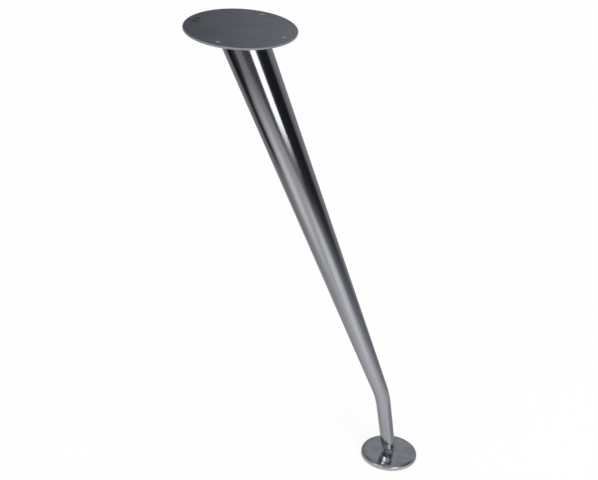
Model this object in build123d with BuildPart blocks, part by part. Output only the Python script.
"""A splayed table leg: a tapered steel tube welded to a round plate, on a swivel levelling foot.

The origin is the middle of the plate's upper face, where the leg meets the table top.
+Z is up, and the leg runs down and outwards towards +X.
"""
import os
from math import cos, radians, sin, sqrt, tan

from build123d import *

os.makedirs("parts", exist_ok=True)

# Driving dimensions, in millimetres and degrees
LEG_HEIGHT = 710.0  # top of the plate to the floor, with the foot screwed home

PLATE_DIAMETER = 160.0
PLATE_THICKNESS = 3.0
PLATE_EDGE_ROUND = 1.2
SCREW_COUNT = 4
SCREW_CIRCLE = 134.0
SCREW_HOLE = 5.5
SCREW_HEAD = 9.4  # mouth of the countersink, on the underside
SCREW_SINK_ANGLE = 90.0
SCREW_FIRST_ANGLE = -26.0

TUBE_TOP_DIAMETER = 67.0
TUBE_BEND_DIAMETER = 23.2
TUBE_END_DIAMETER = 21.8
TUBE_WALL = 2.0
SPLAY_ANGLE = 22.9  # long run, from upright
ANKLE_ANGLE = 10.5  # short run below the bend, from upright
BEND_HEIGHT = 113.0  # above the floor, where the two runs' axes cross
BEND_RADIUS = 160.0
BEND_STATIONS = 7

BUSH_LENGTH = 26.0
BUSH_CLEARANCE = 0.03  # between the bush and the tube's end, where it is welded
BUSH_CHAMFER = 0.8

THREAD_DIAMETER = 10.0
THREAD_LENGTH = 42.0
THREAD_CHAMFER = 1.0
THREAD_CLEARANCE = 0.05
COLLAR_DIAMETER = 19.8
COLLAR_HEIGHT = 10.0
COLLAR_CHAMFER = 0.8
COLLAR_HOME_GAP = 0.3  # between the collar and the tube's end
SHOULDER_DIAMETER = 12.0
SHOULDER_HEIGHT = 2.4
PIN_DIAMETER = 8.0
PIN_CLEARANCE = 0.05
RIVET_DIAMETER = 10.6
RIVET_HEIGHT = 1.2
RIVET_ROOM = 0.3

BALL_DIAMETER = 18.0
BALL_TOP = 7.4  # flats on the ball, above and below its centre
BALL_BOTTOM = 4.5
BALL_CLEARANCE = 0.08

DISC_DIAMETER = 89.0
DISC_THICKNESS = 8.0
DISC_TOP_ROUND = 4.5
DISC_BOTTOM_ROUND = 0.8
PIVOT_DEPTH = 2.0  # ball centre below the disc's upper face

PAD_DIAMETER = 72.0
PAD_THICKNESS = 3.0
PAD_PROUD = 1.0  # how far the pad stands below the disc
PAD_CLEARANCE = 0.2
PAD_EDGE_BREAK = 0.6
PAD_HOLE = 18.4

# Heights and places that follow from them
floor_z = -LEG_HEIGHT
plate_underside = -PLATE_THICKNESS
disc_bottom = PAD_PROUD
disc_top = disc_bottom + DISC_THICKNESS
pivot_height = disc_top - PIVOT_DEPTH

bend_z = floor_z + BEND_HEIGHT
bend_x = (plate_underside - bend_z) * tan(radians(SPLAY_ANGLE))
pivot_z = floor_z + pivot_height
pivot_x = bend_x + (bend_z - pivot_z) * tan(radians(ANKLE_ANGLE))

# Distances up the short run's axis, from the middle of the ball
shoulder_bottom = BALL_TOP + PIN_CLEARANCE
collar_bottom = shoulder_bottom + SHOULDER_HEIGHT
collar_top = collar_bottom + COLLAR_HEIGHT
tube_end = collar_top + COLLAR_HOME_GAP
thread_tip = collar_top + THREAD_LENGTH


def lean(angle):
    """Unit vector that points up a run of the tube leaning by angle."""
    return Vector(-sin(radians(angle)), 0, cos(radians(angle)))


def across(origin, angle):
    """Plane square to a run of the tube, its normal up the run."""
    return Plane(origin=origin, x_dir=(cos(radians(angle)), 0, sin(radians(angle))), z_dir=lean(angle))


bend_point = Vector(bend_x, 0, bend_z)
pivot = Vector(pivot_x, 0, pivot_z)
ankle = across(pivot, ANKLE_ANGLE)
ankle_axis = Axis(pivot, ankle.z_dir)
ankle_side = Plane(origin=pivot, x_dir=ankle.x_dir, z_dir=-ankle.y_dir)
foot_axis = Axis(pivot, (0, 0, 1))
foot_side = Plane(origin=(pivot_x, 0, floor_z), x_dir=(1, 0, 0), z_dir=(0, -1, 0))

# The bend: a round arc that touches both runs, and the tube's width along it
bend_turn = SPLAY_ANGLE - ANKLE_ANGLE
bend_reach = BEND_RADIUS * tan(radians(bend_turn / 2))
bend_top = bend_point + lean(SPLAY_ANGLE) * bend_reach
bend_foot = bend_point - lean(ANKLE_ANGLE) * bend_reach
bend_centre = bend_top - across(bend_top, SPLAY_ANGLE).x_dir * BEND_RADIUS
run_top = Vector(0, 0, plate_underside)
run_overlap = TUBE_TOP_DIAMETER * sin(radians(SPLAY_ANGLE))  # reaches past the plate, then is cut flush
taper = (TUBE_TOP_DIAMETER - TUBE_BEND_DIAMETER) / (run_top - bend_point).length
top_diameter = TUBE_TOP_DIAMETER + taper * run_overlap
bend_top_diameter = TUBE_BEND_DIAMETER + taper * bend_reach
tube_end_point = pivot + ankle.z_dir * tube_end
ankle_taper = (TUBE_BEND_DIAMETER - TUBE_END_DIAMETER) / (bend_point - tube_end_point).length
bend_foot_diameter = TUBE_BEND_DIAMETER - ankle_taper * bend_reach


def bend_diameter(share):
    """Tube width a share of the way round the bend, easing from one run's taper to the other's."""
    eased = 2 * share * taper - share**2 * (taper - ankle_taper)
    return bend_top_diameter - (bend_top_diameter - bend_foot_diameter) * eased / (taper + ankle_taper)


def ring(origin, angle, diameter):
    """Round section square to a run of the tube that leans by angle."""
    with BuildSketch(across(origin, angle)) as section:
        Circle(diameter / 2)
    return section.sketch


def tube_spans(inset):
    """Sections of the long run, the bend and the short run, with the tube's skin set in by inset."""
    start = run_top + lean(SPLAY_ANGLE) * run_overlap
    long_run = [
        ring(start, SPLAY_ANGLE, top_diameter - 2 * inset),
        ring(bend_top, SPLAY_ANGLE, bend_top_diameter - 2 * inset),
    ]
    bend = []
    for station in range(BEND_STATIONS):
        share = station / (BEND_STATIONS - 1)
        angle = SPLAY_ANGLE - bend_turn * share
        middle = bend_centre + across(bend_centre, angle).x_dir * BEND_RADIUS
        bend.append(ring(middle, angle, bend_diameter(share) - 2 * inset))
    short_run = [
        ring(bend_foot, ANKLE_ANGLE, bend_foot_diameter - 2 * inset),
        ring(tube_end_point, ANKLE_ANGLE, TUBE_END_DIAMETER - 2 * inset),
    ]
    return long_run, bend, short_run


def rim_corners(section):
    """Outermost corners of a section that is drawn in its own plane, lowest first."""
    return section.vertices().group_by(Axis.X)[-1].sort_by(Axis.Y)


# Round mounting plate, with screw holes sunk from below
with BuildPart() as mounting_plate:
    with BuildSketch(Plane.XY.offset(plate_underside)):
        Circle(PLATE_DIAMETER / 2)
    extrude(amount=PLATE_THICKNESS)
    fillet(mounting_plate.edges().filter_by(GeomType.CIRCLE), PLATE_EDGE_ROUND)
    with Locations(Plane(origin=(0, 0, plate_underside), x_dir=(1, 0, 0), z_dir=(0, 0, -1))):
        with PolarLocations(SCREW_CIRCLE / 2, SCREW_COUNT, start_angle=-SCREW_FIRST_ANGLE):
            CounterSinkHole(SCREW_HOLE / 2, SCREW_HEAD / 2, PLATE_THICKNESS, SCREW_SINK_ANGLE)
mounting_plate.part.label = "mounting_plate"

# Hollow tapered tube, cut flush under the plate
with BuildPart() as tube_bore:
    for span in tube_spans(TUBE_WALL):
        loft(sections=span, ruled=len(span) == 2)
with BuildPart() as tapered_tube:
    for span in tube_spans(0):
        loft(sections=span, ruled=len(span) == 2)
    add(tube_bore.part, mode=Mode.SUBTRACT)
    split(bisect_by=Plane.XY.offset(plate_underside), keep=Keep.BOTTOM)
tapered_tube.part.label = "tapered_tube"

# Threaded bush, set flush into the tube's lower end
with BuildPart() as threaded_bush:
    with BuildSketch(ankle.offset(tube_end)):
        Circle(TUBE_END_DIAMETER / 2 - TUBE_WALL - BUSH_CLEARANCE)
        Circle(THREAD_DIAMETER / 2 + THREAD_CLEARANCE, mode=Mode.SUBTRACT)
    extrude(amount=BUSH_LENGTH)
    bush_mouth = threaded_bush.faces().sort_by(ankle_axis).first.inner_wires()[0]
    chamfer(bush_mouth.edges(), BUSH_CHAMFER)
threaded_bush.part.label = "threaded_bush"

# Levelling stud: thread, collar, shoulder, and a pin that is riveted over inside the ball
with BuildPart() as levelling_stud:
    rivet_top = RIVET_HEIGHT - BALL_BOTTOM
    collar_edge = COLLAR_DIAMETER / 2 - COLLAR_CHAMFER
    with BuildSketch(ankle_side):
        with BuildLine():
            Polyline(
                (0, -BALL_BOTTOM),
                (RIVET_DIAMETER / 2, -BALL_BOTTOM),
                (RIVET_DIAMETER / 2, rivet_top),
                (PIN_DIAMETER / 2, rivet_top),
                (PIN_DIAMETER / 2, shoulder_bottom),
                (SHOULDER_DIAMETER / 2, shoulder_bottom),
                (SHOULDER_DIAMETER / 2, collar_bottom),
                (collar_edge, collar_bottom),
                (COLLAR_DIAMETER / 2, collar_bottom + COLLAR_CHAMFER),
                (COLLAR_DIAMETER / 2, collar_top - COLLAR_CHAMFER),
                (collar_edge, collar_top),
                (THREAD_DIAMETER / 2, collar_top),
                (THREAD_DIAMETER / 2, thread_tip - THREAD_CHAMFER),
                (THREAD_DIAMETER / 2 - THREAD_CHAMFER, thread_tip),
                (0, thread_tip),
                close=True,
            )
        make_face()
    revolve(axis=ankle_axis)
levelling_stud.part.label = "levelling_stud"

# Swivel ball, bored for the pin and counterbored for its riveted end
with BuildPart() as swivel_ball:
    ball_radius = BALL_DIAMETER / 2
    top_flat = sqrt(ball_radius**2 - BALL_TOP**2)
    bottom_flat = sqrt(ball_radius**2 - BALL_BOTTOM**2)
    bore = PIN_DIAMETER / 2 + PIN_CLEARANCE
    rivet_well = RIVET_DIAMETER / 2 + RIVET_ROOM
    rivet_seat = RIVET_HEIGHT - BALL_BOTTOM + PIN_CLEARANCE
    with BuildSketch(ankle_side):
        with BuildLine():
            ThreePointArc((bottom_flat, -BALL_BOTTOM), (ball_radius, 0), (top_flat, BALL_TOP))
            Polyline(
                (top_flat, BALL_TOP),
                (bore, BALL_TOP),
                (bore, rivet_seat),
                (rivet_well, rivet_seat),
                (rivet_well, -BALL_BOTTOM),
                (bottom_flat, -BALL_BOTTOM),
            )
        make_face()
    revolve(axis=ankle_axis)
swivel_ball.part.label = "swivel_ball"

# Foot disc: a round-edged disc with a spherical seat for the ball and a recess for the pad
with BuildPart() as foot_disc:
    rim = DISC_DIAMETER / 2
    recess_top = PAD_THICKNESS
    recess = PAD_DIAMETER / 2 + PAD_CLEARANCE
    seat_radius = BALL_DIAMETER / 2 + BALL_CLEARANCE
    seat_top = sqrt(seat_radius**2 - PIVOT_DEPTH**2)
    seat_bottom = sqrt(seat_radius**2 - (pivot_height - recess_top) ** 2)
    with BuildSketch(foot_side) as disc_section:
        with BuildLine():
            Polyline(
                (seat_top, disc_top),
                (rim, disc_top),
                (rim, disc_bottom),
                (recess, disc_bottom),
                (recess, recess_top),
                (seat_bottom, recess_top),
            )
            ThreePointArc((seat_bottom, recess_top), (seat_radius, pivot_height), (seat_top, disc_top))
        make_face()
        fillet(rim_corners(disc_section).last, DISC_TOP_ROUND)
        fillet(rim_corners(disc_section).first, DISC_BOTTOM_ROUND)
    revolve(axis=foot_axis)
foot_disc.part.label = "foot_disc"

# Soft pad pressed into the disc's underside, open round the ball
with BuildPart() as glide_pad:
    with BuildSketch(foot_side):
        with BuildLine():
            Polyline(
                (PAD_HOLE / 2, 0),
                (PAD_DIAMETER / 2 - PAD_EDGE_BREAK, 0),
                (PAD_DIAMETER / 2, PAD_EDGE_BREAK),
                (PAD_DIAMETER / 2, PAD_THICKNESS),
                (PAD_HOLE / 2, PAD_THICKNESS),
                close=True,
            )
        make_face()
    revolve(axis=foot_axis)
glide_pad.part.label = "glide_pad"

pieces = (
    mounting_plate,
    tapered_tube,
    threaded_bush,
    levelling_stud,
    swivel_ball,
    foot_disc,
    glide_pad,
)
for piece in pieces:
    export_step(piece.part, f"parts/{piece.part.label}.step")
    print(piece.part.label, round(piece.part.volume, 1), piece.part.is_valid)
print("ball centre", tuple(round(value, 3) for value in tuple(pivot)))
print("short run's axis", tuple(round(value, 6) for value in tuple(ankle.z_dir)))
